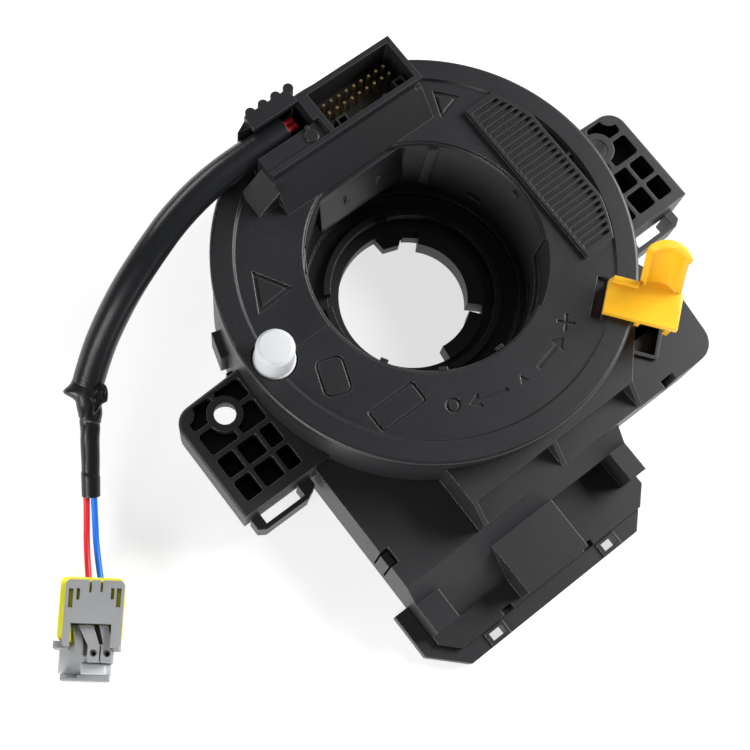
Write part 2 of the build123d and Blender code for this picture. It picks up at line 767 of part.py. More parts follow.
with BuildPart() as rotor_disc:
    with BuildSketch(Plane.XZ):
        with BuildLine():
            Polyline(
                (bore_r, hub_z), (hub_out, hub_z), (hub_out, disc_under), (disc_r - rim_lip, disc_under),
                (disc_r - rim_lip, disc_top - rim_skirt), (disc_r, disc_top - rim_skirt), (disc_r, disc_top),
                (disc_r - rim_band, disc_top), (disc_r - rim_band - 0.5, disc_face),
                (bore_r + 0.9, disc_face), (bore_r + 0.9, disc_face - 0.5), (bore_r + 0.4, disc_face - 0.5),
                (bore_r, disc_face - 1.2), close=True,
            )
        make_face()
    revolve(axis=Axis.Z)
    fillet(rotor_disc.edges().filter_by(GeomType.CIRCLE).group_by(Axis.Z)[-1].sort_by(SortBy.RADIUS)[-1], 0.9)

    # tower on the rim, its foot leaning over the bore
    with BuildSketch(Plane.YZ.offset(tower_left)):
        with BuildLine():
            Polyline(
                (tower_foot, disc_under), (tower_foot, disc_face + 0.2), (tower_front, tower_top - 3.4),
                (tower_front, tower_top), (tower_back, tower_top), (tower_back, disc_under), close=True,
            )
        make_face()
    extrude(amount=tower_len)
    # wedge that stiffens the tower at its left end
    with BuildSketch(Plane.XZ.offset(3.0 - tower_front)):
        with BuildLine():
            Polyline(
                (tower_left - 6, disc_face), (tower_left, disc_face), (tower_left, disc_face + 6.6),
                close=True,
            )
        make_face()
    extrude(amount=-7.5)
    # mating pocket of the connector
    box_between(
        mouth_left + tower_wall, tower_right - tower_wall, tower_front + tower_wall, tower_back - tower_wall,
        disc_under, tower_top + 1, Mode.SUBTRACT,
    )
    # channel for the airbag lead and the bay beside the pocket
    box_between(channel_left, channel_right, bay_back, tower_back + 1, disc_top, tower_top + 1, Mode.SUBTRACT)
    box_between(
        tower_left - 1, mouth_left, tower_front + 1.2, bay_back + 0.1,
        tower_top - 1.2, tower_top + 1, Mode.SUBTRACT,
    )
    with Locations((-7.0, tower_front + 3.4, tower_top - 1.2)):
        Cylinder(1.6, 0.4, align=(Align.CENTER, Align.CENTER, Align.MIN))
    box_between(-7.4, -6.6, tower_front + 5.0, bay_back, tower_top - 1.2, tower_top)
    # step in the right end of the slanted front
    box_between(
        tower_right - 1.6, tower_right + 1, tower_front - 1.4, tower_front + 0.6,
        44.0, 46.6, Mode.SUBTRACT,
    )

    # window in the hub wall below the tower
    box_between(window_left, window_right, bore_r - 6, hub_out + 0.7, window_z, disc_under, Mode.SUBTRACT)

    # recess, rib and snap tabs of the hub wall
    with BuildSketch(Plane.XY.offset(recess_z)):
        with BuildLine():
            sector(bore_r - 0.5, bore_r + 1.1, -62, -28)
        make_face()
    extrude(amount=disc_top - recess_z, mode=Mode.SUBTRACT)
    with BuildSketch(turned(48.0, rib_z, bore_r - 0.2)):
        Rectangle(1.6, 2.4)
    extrude(amount=disc_under - rib_z)
    for angle in tab_angles:
        with BuildSketch(turned(angle, disc_under, bore_r - 0.2)):
            Rectangle(1.8, 2.0)
        extrude(amount=-1.4)
    # seam between the bore and the drive peg
    box_between(peg_x, -bore_r, peg_y - 1.25, peg_y - 0.75, disc_face - 0.35, disc_top, Mode.SUBTRACT)

    # comb grip with its frame and the crescent beside it
    with BuildSketch(Plane.XY.offset(disc_face)):
        with Locations(((comb_x + comb_x_out) / 2, 0)):
            Rectangle(comb_x_out - comb_x, 2 * comb_half)
        Circle(comb_r, mode=Mode.INTERSECT)
    extrude(amount=comb_rise)
    with BuildSketch(Plane.XY.offset(disc_face + 0.2)):
        with Locations(((comb_x + comb_x_out) / 2, 0)):
            with GridLocations(0, slot_pitch, 1, comb_ribs - 1):
                Rectangle(comb_x_out - comb_x - 2 * comb_rib, slot_pitch - comb_rib)
        Circle(comb_r - comb_rib, mode=Mode.INTERSECT)
    extrude(amount=comb_rise, mode=Mode.SUBTRACT)
    with BuildSketch(Plane.XY.offset(disc_face)):
        Circle(disc_r - rim_band - 0.6)
        with Locations((comb_x_out + 0.3, 0)):
            Rectangle(4 * disc_r, 2 * disc_r, align=(Align.MAX, Align.CENTER), mode=Mode.SUBTRACT)
        Rectangle(4 * disc_r, 0.8, mode=Mode.SUBTRACT)
    extrude(amount=-0.9, mode=Mode.SUBTRACT)

    # recess and post of the drive peg
    with Locations((peg_x, peg_y, disc_face - peg_recess)):
        Cylinder(peg_r + 0.5, 3, align=(Align.CENTER, Align.CENTER, Align.MIN), mode=Mode.SUBTRACT)
        Cylinder(peg_post_r, peg_h - 2.5, align=(Align.CENTER, Align.CENTER, Align.MIN))

    # recess in front of the lock finger, slots beside the bore and snap windows
    with BuildSketch(turned(lock_angle, disc_face, lock_inner - 1.0)):
        Rectangle(2.8, 10.8)
    extrude(amount=-1.0, mode=Mode.SUBTRACT)
    with BuildSketch(Plane.XY.offset(disc_face)):
        Polygon((-22.5, 19.0), (-20.3, 17.4), (-24.9, 11.8), (-26.9, 13.2), align=None)
    extrude(amount=-disc_t, mode=Mode.SUBTRACT)
    for angle in snap_angles:
        with BuildSketch(turned(angle, chamber_z + 0.8, bore_r + hub_wall / 2)):
            Rectangle(2 * hub_wall, 4.2)
        extrude(amount=2.6, mode=Mode.SUBTRACT)

    # plain marks: frames, arrows, a ring and a cross
    with BuildSketch(Plane.XY.offset(disc_face)):
        Polygon((-36.6, 21.1), (-31.0, 11.9), (-41.7, 11.4), align=None)
        Polygon((-36.5, 18.9), (-32.9, 13.0), (-39.7, 12.6), align=None, mode=Mode.SUBTRACT)
        with Locations(Location((-36.7, -11.0), -20)):
            RectangleRounded(7.0, 9.6, 2.0)
            RectangleRounded(5.8, 8.4, 1.4, mode=Mode.SUBTRACT)
        with Locations((-29.2, -25.6)):
            RectangleRounded(13.4, 6.2, 0.8)
            RectangleRounded(12.0, 4.8, 0.5, mode=Mode.SUBTRACT)
        with Locations((-18.4, -33.2)):
            Circle(1.9)
            Circle(1.1, mode=Mode.SUBTRACT)
        Polygon((-2.2, -38.9), (0.2, -38.9), (-1.0, -36.8), align=None)
        Polygon((28.1, 33.1), (33.0, 28.1), (25.3, 25.9), align=None)
        Polygon((28.2, 31.4), (31.2, 28.4), (26.5, 27.1), align=None, mode=Mode.SUBTRACT)
        for angle in (-45, 45):
            with Locations(Location((16.4, -33.4), angle)):
                Rectangle(4.6, 0.8)
        for angle, way in ((-105, -1), (-77.5, 1)):
            with Locations(Location(polar(38.0, angle), angle + 90)):
                Rectangle(9.4, 1.1)
                Polygon((way * 5.6, 0), (way * 2.6, 2.0), (way * 2.6, -2.0), align=None)
    extrude(amount=-0.4, mode=Mode.SUBTRACT)
rotor_disc.part.label = "rotor_disc"
export_step(rotor_disc.part, "parts/rotor_disc.step")

# Connector header with its keying posts, and the two rows of pins
header_row = (tower_front + 6.9, tower_front + 9.2)
header_x0 = mouth_left + 1.3
with BuildPart() as connector_header:
    box_between(
        mouth_left + tower_wall, tower_right - tower_wall, tower_front + tower_wall, tower_back - tower_wall,
        disc_under, header_top,
    )
    for x in (2.5, 20.0):
        post_y = tower_front + tower_wall
        box_between(x - 1.5, x + 1.5, post_y, post_y + 3.2, header_top, header_top + 6.0)
        box_between(x - 1.0, x + 1.0, post_y + 0.5, post_y + 2.7, header_top + 1, header_top + 7, Mode.SUBTRACT)
    for x in (7.0, 14.5):
        box_between(x - 0.4, x + 0.4, post_y, post_y + 1.4, header_top, header_top + 6.6)
connector_header.part.label = "connector_header"
export_step(connector_header.part, "parts/connector_header.step")

with BuildPart() as header_pins:
    for y in header_row:
        with Locations((header_x0 + pin_pitch * (pins_per_row - 1) / 2 + 0.7, y, header_top)):
            with GridLocations(pin_pitch, 1, pins_per_row, 1):
                Box(pin_side, pin_side, pin_tip - header_top, align=(Align.CENTER, Align.CENTER, Align.MIN))
header_pins.part.label = "header_pins"
export_step(header_pins.part, "parts/header_pins.step")

# Terminal block that closes the window in the hub wall
block_in = bore_r - 4.6
with BuildPart() as terminal_block:
    with BuildSketch(Plane.YZ.offset(window_left)):
        with BuildLine():
            Polyline(
                (block_in, window_z), (block_in, window_z + 2), (block_in + 2.0, disc_under - 3),
                (block_in + 2.0, disc_under), (block_in + 3.5, disc_under), (block_in + 3.5, disc_under - 3),
                (block_in + 1.6, window_z + 2.6), (block_in + 1.6, window_z), close=True,
            )
        make_face()
    extrude(amount=window_right - window_left)
    for x in (-4.0, 6.0):
        box_between(x - 0.5, x + 0.5, block_in + 0.6, block_in + 3.2, window_z, window_z + 9)
terminal_block.part.label = "terminal_block"
export_step(terminal_block.part, "parts/terminal_block.step")

# Clamp over the lead channel
clamp_left = -17.5
clamp_right = channel_right - seat_gap
clamp_in = tower_back + 0.5
clamp_out = tower_back + 2.6
with BuildPart() as cable_clamp:
    box_between(clamp_left, clamp_right, clamp_in, clamp_out, disc_top, tower_top)
    box_between(clamp_left, clamp_right, clamp_in - 1.9, clamp_out, tower_top - 1.8, tower_top)
    with Locations([(clamp_left + 1.9 + 3.7 * i, clamp_out, disc_top) for i in range(4)]):
        Cylinder(1.3, tower_top - disc_top, align=(Align.CENTER, Align.CENTER, Align.MIN))
    with BuildSketch(Plane.XY.offset(disc_top)):
        with BuildLine():
            Polyline(
                (clamp_left, clamp_in), (clamp_left, clamp_out), (clamp_left - 3, clamp_in + 0.6),
                close=True,
            )
        make_face()
    extrude(amount=7.4)
cable_clamp.part.label = "cable_clamp"
export_step(cable_clamp.part, "parts/cable_clamp.step")

# Drive peg cap on its post
peg_z = disc_face - peg_recess
with BuildPart() as drive_peg:
    with BuildSketch(Plane.XZ.offset(-peg_y)):
        with BuildLine():
            Polyline(
                (peg_x, peg_z), (peg_x + peg_r, peg_z), (peg_x + peg_r, peg_z + 1.2),
                (peg_x + peg_top_r, peg_z + 1.2), (peg_x + peg_top_r - 0.15, peg_z + peg_h - 1.2),
                (peg_x + 3.8, peg_z + peg_h), (peg_x, peg_z + peg_h), close=True,
            )
        make_face()
    revolve(axis=Axis((peg_x, peg_y, 0), (0, 0, 1)))
    with Locations((peg_x, peg_y, peg_z)):
        upwards = (Align.CENTER, Align.CENTER, Align.MIN)
        Cylinder(peg_post_r + 0.02, peg_h - 2.5, align=upwards, mode=Mode.SUBTRACT)
drive_peg.part.label = "drive_peg"
export_step(drive_peg.part, "parts/drive_peg.step")

# Transport lock tab, drawn in its own radial frame
lock_z = disc_top + 0.3
lock_frame = turned(lock_angle, 0)
lock_side = 4.4
lock_mid = lock_outer - 5.9
grip_half = 5.2
grip_inner = lock_mid - grip_half
with BuildPart(lock_frame) as lock_tab:
    with BuildSketch(lock_frame.offset(lock_z)):
        with BuildLine():
            Polyline(
                (lock_inner, -lock_side), (lock_outer, -lock_side), (lock_outer, 5.0), (lock_mid + grip_half, 5.0),
            )
            ThreePointArc((lock_mid + grip_half, 5.0), (lock_mid, 8.0), (grip_inner, 5.0))
            Polyline((grip_inner, 5.0), (lock_inner + 0.8, 5.0), (lock_inner, 4.2), (lock_inner, -lock_side))
        make_face()
    extrude(amount=lock_plate)
    # raised lip along the side, hook behind the rim, leg and its rib
    box_between(lock_inner + 0.8, grip_inner, 3.6, 5.0, lock_z, lock_z + lock_plate + 1.3)
    box_between(disc_r + run_gap, disc_r + 1.6, -lock_side, 5.0, disc_top - 2, lock_z)
    box_between(lock_outer - 1.4, lock_outer, lock_leg_t - 3.8, lock_leg_t + 2.0, lock_tip_z, lock_z)
    leg_place = lock_frame.from_local_coords((0, lock_leg_t, 0))
    with BuildSketch(Plane(leg_place, x_dir=lock_frame.x_dir, z_dir=lock_frame.y_dir)):
        with BuildLine():
            Polyline(
                (lock_mid - 2.0, -lock_z), (lock_outer, -lock_z), (lock_outer, -lock_tip_z),
                (lock_outer - 1.4, -lock_tip_z), close=True,
            )
        make_face()
    extrude(amount=1.4)
    # curved pull handle that leans back, with a thicker top edge
    with BuildSketch(lock_frame.offset(lock_z + lock_plate)):
        with BuildLine():
            ThreePointArc((grip_inner, 5.0), (lock_mid, 8.0), (lock_mid + grip_half, 5.0))
            Line((lock_mid + grip_half, 5.0), (lock_mid + 3.6, 5.0))
            ThreePointArc((lock_mid + 3.6, 5.0), (lock_mid, 6.6), (lock_mid - 3.6, 5.0))
            Line((lock_mid - 3.6, 5.0), (grip_inner, 5.0))
        make_face()
    lean = lock_frame.x_dir * -2.5 + lock_frame.y_dir * 3.5 + lock_frame.z_dir * lock_handle_h
    extrude(amount=lean.length, dir=lean)
    lip_frame = Plane(
        origin=lean * (1 - 2.0 / lock_handle_h) + lock_frame.z_dir * (lock_z + lock_plate),
        x_dir=lock_frame.x_dir, z_dir=lock_frame.z_dir,
    )
    with BuildSketch(lip_frame):
        with BuildLine():
            ThreePointArc((lock_mid - 5.5, 4.9), (lock_mid, 8.6), (lock_mid + 5.5, 4.9))
            Line((lock_mid + 5.5, 4.9), (lock_mid + 3.6, 4.9))
            ThreePointArc((lock_mid + 3.6, 4.9), (lock_mid, 6.5), (lock_mid - 3.6, 4.9))
            Line((lock_mid - 3.6, 4.9), (lock_mid - 5.5, 4.9))
        make_face()
    extrude(amount=2.6)
lock_tab.part.label = "lock_tab"
export_step(lock_tab.part, "parts/lock_tab.step")

# Airbag lead: sleeve, tape and the two wires
v_dir = Vector(0.775, -0.632, 0)
plug_frame = Plane(origin=(-107.1, -12.2, 0), x_dir=(-0.632, -0.775, 0), z_dir=(0, 0, 1))
sleeve_route = [
    Vector(-12, channel_y, 42),
    Vector(-20.5, channel_y, 42.1),
    Vector(-32.5, 43.5, 42),
    Vector(-44, 41.5, 40.5),
    Vector(-53.6, 38.5, 38),
    Vector(-62.3, 36, 33.2),
    Vector(-70.3, 33, 27.2),
    Vector(-76.2, 30.1, 22.6),
    Vector(-81.4, 26.6, 18.6),
]
tape_route = [
    Vector(-81.4, 26.6, 18.6),
    Vector(-85.4, 21.4, 16.9),
    Vector(-88.5, 16.9, 14.4),
    Vector(-96.3, 5.6, 8.0),
]
wire_route = [
    (Vector(-89.3, 15.7, 13.7), 1.0),
    (Vector(-93.9, 9.0, 9.9), 1.0),
    (Vector(-98.3, 1.4, 5.9), 1.15),
    (Vector(-102.6, -4.9, 3.8), 1.4),
    (plug_frame.from_local_coords(Vector(-0.9, -0.85, 3.9)), 1.7),
]


def bend_radii(points):
    """Arc radius at each corner of a route, as large as its two runs allow."""
    radii = []
    for before, here, after in zip(points, points[1:], points[2:]):
        turn = (here - before).get_angle(after - here)
        radii.append(0.45 * min((here - before).length, (after - here).length) / tan(radians(turn / 2)))
    return radii


def check_tube(name, points, r, volume, path):
    """Print the arc radii of a tube, and its volume beside section times length."""
    length = sum(edge.length for edge in path.edges())
    print(name, "radii", [round(value, 1) for value in bend_radii(points)])
    print(name, "length", round(length, 2), "volume ratio", round(volume / (pi * r**2 * length), 4))


with BuildPart() as sleeve_tube:
    with BuildLine() as sleeve_line:
        FilletPolyline(*sleeve_route, radius=bend_radii(sleeve_route))
    with BuildSketch(Plane(origin=sleeve_route[0], z_dir=sleeve_route[1] - sleeve_route[0])):
        Circle(sleeve_r)
    sweep()
check_tube("sleeve_tube", sleeve_route, sleeve_r, sleeve_tube.part.volume, sleeve_line.line)
sleeve_tube.part.label = "sleeve_tube"
export_step(sleeve_tube.part, "parts/sleeve_tube.step")

red_route = [point - v_dir * (wire_split * spread) for point, spread in wire_route]
with BuildPart() as wire_red:
    with BuildLine() as red_line:
        FilletPolyline(*red_route, radius=bend_radii(red_route))
    with BuildSketch(Plane(origin=red_route[0], z_dir=red_route[1] - red_route[0])):
        Circle(wire_r)
    sweep()
check_tube("wire_red", red_route, wire_r, wire_red.part.volume, red_line.line)
wire_red.part.label = "wire_red"
export_step(wire_red.part, "parts/wire_red.step")

blue_route = [point + v_dir * (wire_split * spread) for point, spread in wire_route]
with BuildPart() as wire_blue:
    with BuildLine() as blue_line:
        FilletPolyline(*blue_route, radius=bend_radii(blue_route))
    with BuildSketch(Plane(origin=blue_route[0], z_dir=blue_route[1] - blue_route[0])):
        Circle(wire_r)
    sweep()
check_tube("wire_blue", blue_route, wire_r, wire_blue.part.volume, blue_line.line)
wire_blue.part.label = "wire_blue"
export_step(wire_blue.part, "parts/wire_blue.step")

with BuildPart() as tape_wrap:
    with BuildLine():
        FilletPolyline(*tape_route, radius=bend_radii(tape_route))
    with BuildSketch(Plane(origin=tape_route[0], z_dir=tape_route[1] - tape_route[0])):
        Circle(tape_r)
    sweep()
    # bunched turns where the tape grips the end of the sleeve
    with Locations(tape_route[0] + (tape_route[1] - tape_route[0]).normalized() * 1.4):
        Sphere(sleeve_r - 0.1)
    add(sleeve_tube.part, mode=Mode.SUBTRACT)
    add(wire_red.part, mode=Mode.SUBTRACT)
    add(wire_blue.part, mode=Mode.SUBTRACT)
tape_wrap.part.label = "tape_wrap"
export_step(tape_wrap.part, "parts/tape_wrap.step")

with BuildPart() as lead_tails:
    with Locations((sleeve_route[0].X, channel_y, 42)):
        for y in (-wire_split, wire_split):
            with Locations((0.05, y, 1.0)):
                Cylinder(wire_r, 5.0, rotation=(0, 90, 0), align=(Align.CENTER, Align.CENTER, Align.MIN))
lead_tails.part.label = "lead_tails"
export_step(lead_tails.part, "parts/lead_tails.step")

# Airbag plug, drawn along its own axis
plug_left = -8.4
plug_right = plug_w / 2 - 0.4
plug_floor = 2.2
prong_z = plug_h
with BuildPart(plug_frame) as plug_body:
    box_between(-0.8, 14.4, plug_left, plug_right, 0, plug_h)
    fillet(plug_body.edges().filter_by(Axis.Z), 1.4)
    box_between(10.0, 16.0, -5.2, 4.9, plug_floor, plug_h + 1, Mode.SUBTRACT)
plug_body.part.label = "plug_body"
export_step(plug_body.part, "parts/plug_body.step")

with BuildPart(plug_frame) as plug_cover:
    box_between(0, plug_len, -plug_w / 2, plug_w / 2, plug_h, plug_h + plug_cover_t)
    fillet(plug_cover.edges().filter_by(Axis.Z), 1.2)
    box_between(10.3, plug_len + 1, -5.2, 4.4, plug_h - 1, plug_h + 3, Mode.SUBTRACT)
    # windows, thin slots and the two notches at the wire end
    for x0, x1, y0, y1 in (
        (2.2, 6.7, -6.2, -5.1), (1.8, 6.3, 5.1, 6.2), (2.1, 4.8, -4.35, -3.55),
        (1.8, 4.5, 3.75, 4.55), (-1, 3.0, -1.45, -0.85), (-1, 2.8, 1.2, 1.8),
    ):
        box_between(x0, x1, y0, y1, plug_h - 1, plug_h + 3, Mode.SUBTRACT)
    # side skirts beyond the body
    box_between(14.5, 16.2, plug_left - 0.6, -5.6, 2.6, plug_h + 0.4)
    box_between(14.5, 16.2, 5.0, plug_right, 2.6, plug_h + 0.4)
plug_cover.part.label = "plug_cover"
export_step(plug_cover.part, "parts/plug_cover.step")

with BuildPart(plug_frame) as plug_nose:
    with BuildSketch(plug_frame.offset(plug_floor)):
        Polygon(
            (10.5, -3.6), (15.4, -0.9), (19.0, -0.9), (19.0, 4.9), (15.2, 4.9), (10.5, 3.6), align=None,
        )
    extrude(amount=prong_z - plug_floor)
    with BuildSketch(plug_frame.offset(4.4)):
        Polygon((10.4, 0.0), (10.4, 1.4), (15.0, 2.7), (15.0, 1.7), align=None)
    extrude(amount=plug_h, mode=Mode.SUBTRACT)
    box_between(15.2, 20.0, 1.95, 2.25, 3.4, plug_h + 2, Mode.SUBTRACT)
    with BuildSketch(plug_frame.offset(plug_floor)):
        Polygon((10.5, -5.1), (10.5, -3.4), (15.0, -2.0), (17.6, -2.0), (17.6, -4.0), (15.4, -4.0), align=None)
    extrude(amount=4.8)
    with Locations((17.1, 0.5, prong_z), (17.1, 3.7, prong_z)):
        Hole(0.85, 5.0)
plug_nose.part.label = "plug_nose"
export_step(plug_nose.part, "parts/plug_nose.step")

with BuildPart(plug_frame) as plug_contacts:
    with Locations((17.1, 0.5, prong_z - 5.0), (17.1, 3.7, prong_z - 5.0)):
        Cylinder(0.85, 3.6, align=(Align.CENTER, Align.CENTER, Align.MIN))
        Cylinder(0.5, 4, align=(Align.CENTER, Align.CENTER, Align.MIN), mode=Mode.SUBTRACT)
plug_contacts.part.label = "plug_contacts"
export_step(plug_contacts.part, "parts/plug_contacts.step")

with BuildPart(plug_frame) as plug_lock:
    box_between(14.4, 21.8, plug_left + 0.2, 4.6, 0, plug_floor)
    fillet(plug_lock.edges().filter_by(Axis.Z).group_by(Axis.Y)[0], 0.6)
    box_between(19.2, 21.8, -2.6, 3.2, plug_floor, 3.6)
plug_lock.part.label = "plug_lock"
export_step(plug_lock.part, "parts/plug_lock.step")

with BuildPart(plug_frame) as plug_lip:
    box_between(21.8, 23.3, -7.4, 4.2, 0, 3.4)
    box_between(21.0, 22.6, -6.2, -3.4, 2.4, 5.0, Mode.SUBTRACT)
plug_lip.part.label = "plug_lip"
export_step(plug_lip.part, "parts/plug_lip.step")
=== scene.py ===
import bmesh
import bpy
import json
import math
from mathutils import Matrix, Vector


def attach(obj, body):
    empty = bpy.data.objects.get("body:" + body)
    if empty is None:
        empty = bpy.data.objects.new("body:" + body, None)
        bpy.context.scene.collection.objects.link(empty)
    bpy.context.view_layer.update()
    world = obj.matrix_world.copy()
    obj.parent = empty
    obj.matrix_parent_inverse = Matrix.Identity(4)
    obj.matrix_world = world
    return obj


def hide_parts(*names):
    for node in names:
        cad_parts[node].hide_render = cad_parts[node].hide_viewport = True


# The looks of a steering clock spring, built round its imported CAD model.
# Routes and sizes of pieces are in millimetres, and MM makes them metres.

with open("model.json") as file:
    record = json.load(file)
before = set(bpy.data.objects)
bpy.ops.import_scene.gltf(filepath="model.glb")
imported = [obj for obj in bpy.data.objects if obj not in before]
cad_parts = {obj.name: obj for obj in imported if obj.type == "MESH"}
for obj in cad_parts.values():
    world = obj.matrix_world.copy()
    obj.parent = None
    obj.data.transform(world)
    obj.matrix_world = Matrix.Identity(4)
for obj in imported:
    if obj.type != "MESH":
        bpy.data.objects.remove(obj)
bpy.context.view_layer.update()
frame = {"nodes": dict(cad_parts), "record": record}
bpy.ops.object.select_all(action="DESELECT")

MM = 0.001


# Camera, at the photograph's viewing angle

SENSOR_WIDTH = 36.0
FOCAL_LENGTH = 67.94
NEAREST_SEEN, FURTHEST_SEEN = 0.02, 10.0
CAMERA_TURNS = (("X", -16.25744), ("Y", 5.52056), ("Z", 37.94517))
CAMERA_SHIFT = (8.91971, 18.70579, -375.97892)


def place_camera():
    """The lens and place that give the photograph's framing."""
    lens = bpy.data.cameras.new("camera")
    lens.sensor_width = SENSOR_WIDTH
    lens.lens = FOCAL_LENGTH
    lens.clip_start = NEAREST_SEEN
    lens.clip_end = FURTHEST_SEEN
    camera = bpy.data.objects.new("camera", lens)
    bpy.context.scene.collection.objects.link(camera)
    turn = Matrix.Identity(4)
    for axis, degrees in CAMERA_TURNS:
        turn = turn @ Matrix.Rotation(math.radians(degrees), 4, axis)
    shift = Vector(CAMERA_SHIFT) * MM
    camera.matrix_world = (Matrix.Translation(shift) @ turn).inverted()
    bpy.context.scene.camera = camera


place_camera()


# The airbag lead: a sleeve from the tower, winding tape, and two wires that run to the plug

SLEEVE_ROUTE = [
    (-10.2, 44.0, 41.8),
    (-20.5, 44.0, 42.1),
    (-32.5, 43.5, 42.0),
    (-44.0, 41.5, 40.5),
    (-53.6, 38.5, 38.0),
    (-62.3, 36.0, 33.2),
    (-70.3, 33.0, 27.2),
    (-76.2, 30.1, 22.6),
    (-81.4, 26.6, 18.6),
]
TAPE_ROUTE = [
    (-80.8, 27.2, 18.9),
    (-84.9, 21.0, 16.9),
    (-88.2, 16.7, 14.4),
    (-96.3, 5.6, 8.0),
]
# The line midway between the wires, with how far they spread at each point
WIRE_ROUTE = [
    (-89.3, 15.7, 13.7, 1.0),
    (-94.1, 9.1, 9.9, 1.0),
    (-99.1, 2.0, 5.9, 1.15),
    (-103.5, -4.2, 3.8, 1.4),
    (-107.19, -10.97, 3.9, 1.7),
]
SLEEVE_RADIUS = 3.85
WIRE_RADIUS = 0.8
WIRE_SPACING = 0.85
ACROSS_WIRES = (0.775, -0.632, 0.0)
LEAD_STEPS = 12
LEAD_ROUNDNESS = 8


def lead_curve(name, route, radius):
    """One smooth open spline along the route, given the thickness of the lead."""
    line = bpy.data.curves.new(name, "CURVE")
    line.dimensions = "3D"
    spline = line.splines.new("NURBS")
    spline.points.add(len(route) - 1)
    for point, (x, y, z) in zip(spline.points, route):
        point.co = (x * MM, y * MM, z * MM, 1.0)
        point.radius = radius * MM
    spline.order_u = 3
    spline.use_endpoint_u = True
    spline.resolution_u = LEAD_STEPS
    line.bevel_depth = 1.0
    line.bevel_resolution = LEAD_ROUNDNESS
    line.use_fill_caps = True
    piece = bpy.data.objects.new(name, line)
    bpy.context.scene.collection.objects.link(piece)
    return piece


def centre_line(piece):
    """The points of a lead's smooth line, read from its spline."""
    bare = piece.copy()
    bare.data = piece.data.copy()
    bare.data.bevel_depth = 0.0
    bpy.context.scene.collection.objects.link(bare)
    depsgraph = bpy.context.evaluated_depsgraph_get()
    mesh = bpy.data.meshes.new_from_object(bare.evaluated_get(depsgraph))
    points = [vertex.co.copy() for vertex in mesh.vertices]
    bpy.data.meshes.remove(mesh)
    bare_line = bare.data
    bpy.data.objects.remove(bare)
    bpy.data.curves.remove(bare_line)
    return points


def lead_length(piece):
    """The length of a lead along its smooth line, in metres."""
    points = centre_line(piece)
    return sum((after - before).length for before, after in zip(points, points[1:]))


def wire_points(side):
    """The route of one of the two wires, which spread towards the plug."""
    return [
        tuple(at + side * WIRE_SPACING * spread * way for at, way in zip(place, ACROSS_WIRES))
        for *place, spread in WIRE_ROUTE
    ]


sleeve = lead_curve("sleeve", SLEEVE_ROUTE, SLEEVE_RADIUS)
wire_red = lead_curve("red_wire", wire_points(-1), WIRE_RADIUS)
wire_blue = lead_curve("blue_wire", wire_points(1), WIRE_RADIUS)


# Winding tape between the sleeve and the two wires

TAPE_RADIUS = 2.2
TAPE_SWELL = (1.5, 1.16, 1.05, 0.96)
TAPE_STEPS = 44
TAPE_ROUNDNESS = 12
TAPE_SMOOTH_ANGLE = 40.0

# Laps, each with its thickness, where it ends along the tape, and how far that edge slants
UPPER_LAP, UPPER_LAP_END, UPPER_LAP_SLANT = 0.32, 0.44, 0.05
LOWER_LAP, LOWER_LAP_END, LOWER_LAP_SLANT = 0.14, 0.9, 0.01
CREASE_DEPTH, CREASES_ACROSS, CREASES_ALONG = 0.16, 5.0, 26.0
PINCH_HEIGHT, PINCH_PLACE, PINCH_LENGTH, PINCH_SHARPNESS = 3.0, 0.10, 0.06, 5

# The loose loop beside the sleeve's end
FOLD_SEGMENTS, FOLD_RINGS = 28, 14
FOLD_HALF_SIZE = (2.1, 4.0, 1.5)
FOLD_FACE_SLOPE = 0.72
FOLD_RIM = 0.28
FOLD_HOLLOW = 0.7
FOLD_WAIST, FOLD_BULGE, FOLD_TAPER, FOLD_LEAN = 0.62, 0.38, 0.4, 0.25
FOLD_CENTRE = (-81.9, 21.2, 20.0)
FOLD_ALONG = (5.2, 4.4, 1.4)
FOLD_FACING = (-27.5, -92.4, 335.0)


def only_select(piece):
    bpy.ops.object.select_all(action="DESELECT")
    piece.select_set(True)
    bpy.context.view_layer.objects.active = piece


def tape_layers(share, across):
    """How far the winding stands out, in mm: lapped layers, creases and the pinched corner."""
    out = UPPER_LAP if share < UPPER_LAP_END + UPPER_LAP_SLANT * across else 0.0
    out += LOWER_LAP if share > LOWER_LAP_END + LOWER_LAP_SLANT * across else 0.0
    out += CREASE_DEPTH * (1.0 - share) * math.sin(CREASES_ACROSS * across + CREASES_ALONG * share)
    pinch = math.exp(-(((share - PINCH_PLACE) / PINCH_LENGTH) ** 2))
    return out + PINCH_HEIGHT * pinch * max(0.0, -across) ** PINCH_SHARPNESS


def wind_tape():
    """A tube along the tape's line, with lapped layers pushed out of it."""
    line = lead_curve("tape_winding", TAPE_ROUTE, TAPE_RADIUS)
    spline = line.data.splines[0]
    spline.resolution_u = TAPE_STEPS
    line.data.bevel_resolution = TAPE_ROUNDNESS
    for point, swell in zip(spline.points, TAPE_SWELL):
        point.radius *= swell
    middle = centre_line(line)
    only_select(line)
    bpy.ops.object.convert(target="MESH")
    winding = bpy.context.object
    side = Vector(ACROSS_WIRES).normalized()
    for vertex in winding.data.vertices:
        near = min(range(len(middle)), key=lambda i: (middle[i] - vertex.co).length_squared)
        outward = vertex.co - middle[near]
        if outward.length < 0.0001 * MM:
            continue
        outward.normalize()
        share = near / (len(middle) - 1)
        vertex.co += outward * tape_layers(share, outward.dot(side)) * MM
    return winding


